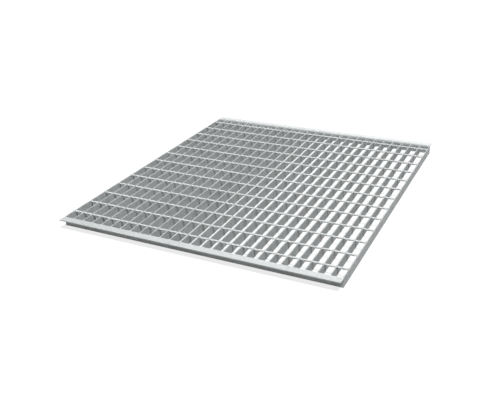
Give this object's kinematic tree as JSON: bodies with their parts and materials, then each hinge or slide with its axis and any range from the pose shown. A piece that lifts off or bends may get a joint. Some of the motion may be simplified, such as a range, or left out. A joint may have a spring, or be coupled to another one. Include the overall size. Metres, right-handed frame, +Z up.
{
  "type": "steel grating deck panel",
  "caption": "Flat welded bar grating panel that drops between two rack beams and rests on a folded flange along its front and rear edges.",
  "frame": {"origin": "middle of the panel at the level of the bars' lower edges", "axes": "+X along the rack beams, +Y along the bearing bars towards the rear edge, +Z up, out of the load surface"},
  "size_m": [0.8948, 1.05, 0.03],
  "materials": {
    "galvanised_steel": "hot-dip galvanised, satin with a fine spangle"
  },
  "bodies": {
    "root": {"bar_grid": "galvanised_steel", "front_angle": "galvanised_steel", "rear_angle": "galvanised_steel"}
  },
  "joints": []
}
